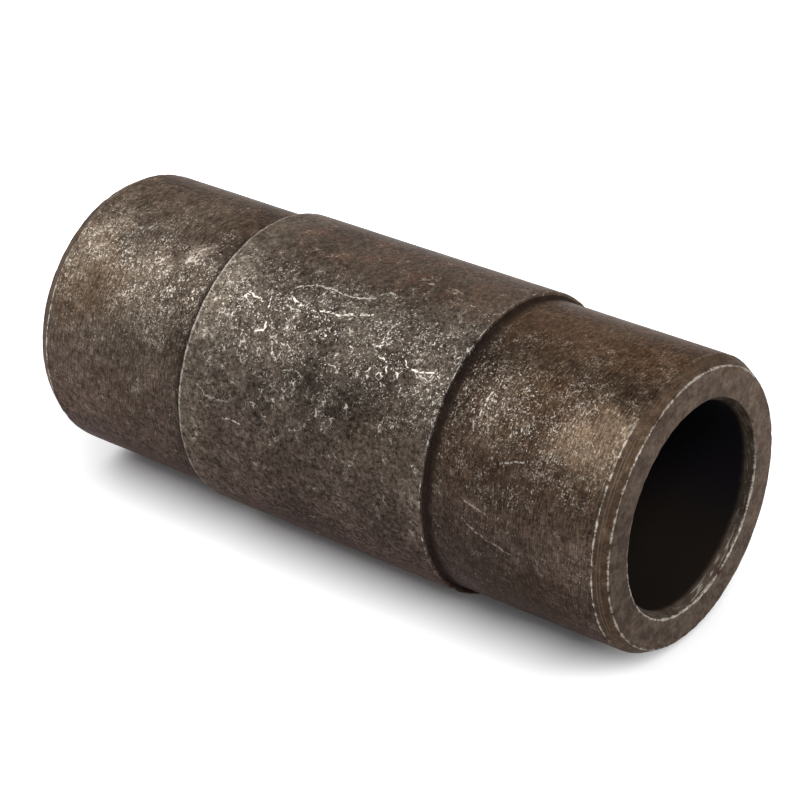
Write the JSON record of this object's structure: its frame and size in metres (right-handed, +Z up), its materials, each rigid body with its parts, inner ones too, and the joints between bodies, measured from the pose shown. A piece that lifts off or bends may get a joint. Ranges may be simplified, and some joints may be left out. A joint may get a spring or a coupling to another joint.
{
  "type": "stepped track chain bushing",
  "caption": "Hardened steel sleeve with a plain through bore, a raised wearing band at mid-length and a chamfered press-fit spigot at each end.",
  "frame": {"origin": "centre of the lower end face, on the bore's axis", "axes": "+Z up along the bore; the sleeve is round about Z and the same at both ends, so X and Y are free"},
  "size_m": [0.047, 0.047, 0.1085],
  "materials": {
    "oxidised_steel": "dark brown-grey heat-treatment oxide over turned steel, satin, with bright worn edges and fine scratches"
  },
  "bodies": {
    "root": {"bushing": "oxidised_steel"}
  },
  "joints": []
}
